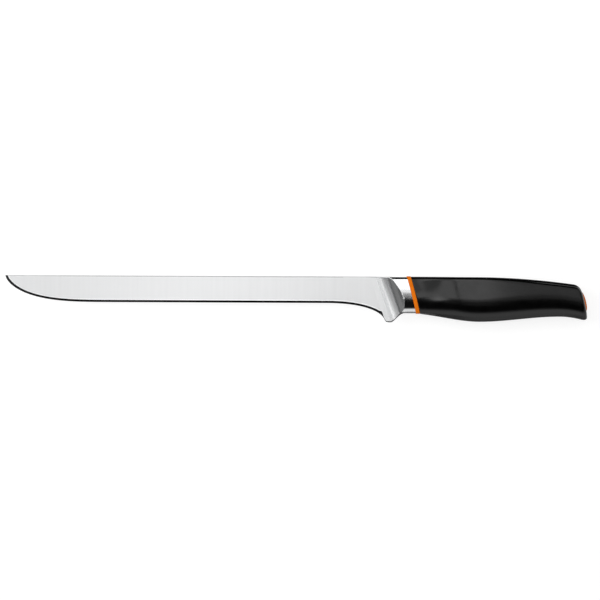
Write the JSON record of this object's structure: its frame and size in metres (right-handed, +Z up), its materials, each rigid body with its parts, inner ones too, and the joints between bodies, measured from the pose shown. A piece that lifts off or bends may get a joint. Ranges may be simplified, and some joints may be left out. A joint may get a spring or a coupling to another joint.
{
  "type": "ham knife",
  "caption": "Long narrow slicing knife for ham, with a drop heel, a hollow-ground cove, a polished bolster, an orange ring and butt insert, and a black contoured grip.",
  "frame": {"origin": "under the middle of the knife's length and height, on the surface that it lies on", "axes": "+X from the tip to the butt, +Y from the cutting edge to the spine, +Z up, out of the blade's right side"},
  "size_m": [0.3792, 0.03, 0.0206],
  "materials": {
    "steel": "satin blade and cove, polished collar",
    "orange": "smooth, half gloss",
    "core": "as moulded",
    "pin": "plain turned",
    "grip": "satin, fine moulded grain"
  },
  "bodies": {
    "root": {"blade": "steel", "front_ring": "orange", "core_left": "core", "core_right": "core", "tang_pin_front": "pin", "tang_pin_rear": "pin", "grip": "grip", "butt_insert": "orange"}
  },
  "joints": []
}
